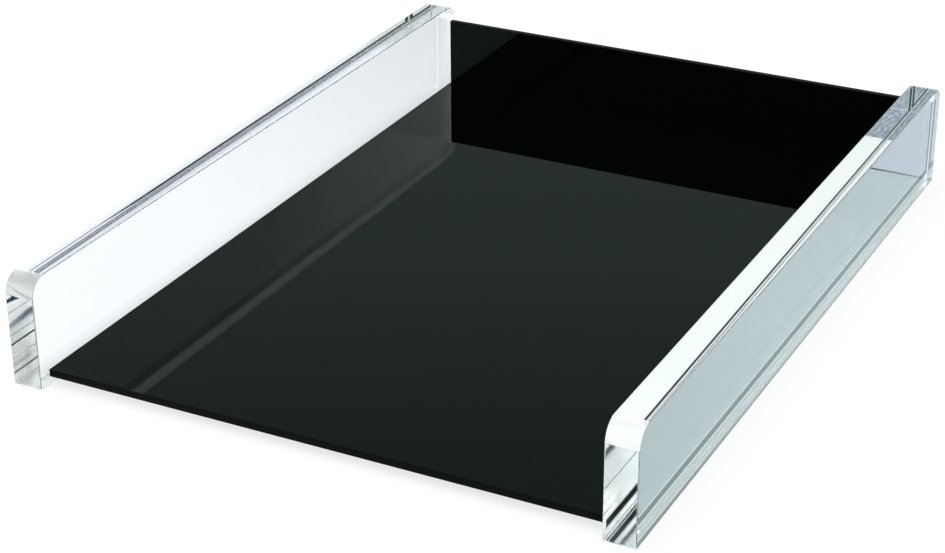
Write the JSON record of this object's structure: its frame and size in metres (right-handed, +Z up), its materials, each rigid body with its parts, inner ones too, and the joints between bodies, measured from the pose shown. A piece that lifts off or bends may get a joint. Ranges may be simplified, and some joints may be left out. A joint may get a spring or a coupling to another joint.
{
  "type": "letter tray",
  "caption": "Open letter tray: thick clear side panels with rounded top corners stand on their edges and hold a thin gloss black floor and back between them.",
  "frame": {"origin": "on the desk, under the centre of the whole tray", "axes": "+X to the tray's right as seen from its open front, +Y from the open front to the back sheet, +Z up"},
  "size_m": [0.2584, 0.343, 0.0462],
  "materials": {
    "clear_acrylic": "clear cast acrylic, polished faces and edges",
    "black_acrylic": "gloss black cast acrylic"
  },
  "bodies": {
    "root": {"left_side_panel": "clear_acrylic", "right_side_panel": "clear_acrylic", "floor_sheet": "black_acrylic", "back_sheet": "black_acrylic"}
  },
  "joints": []
}
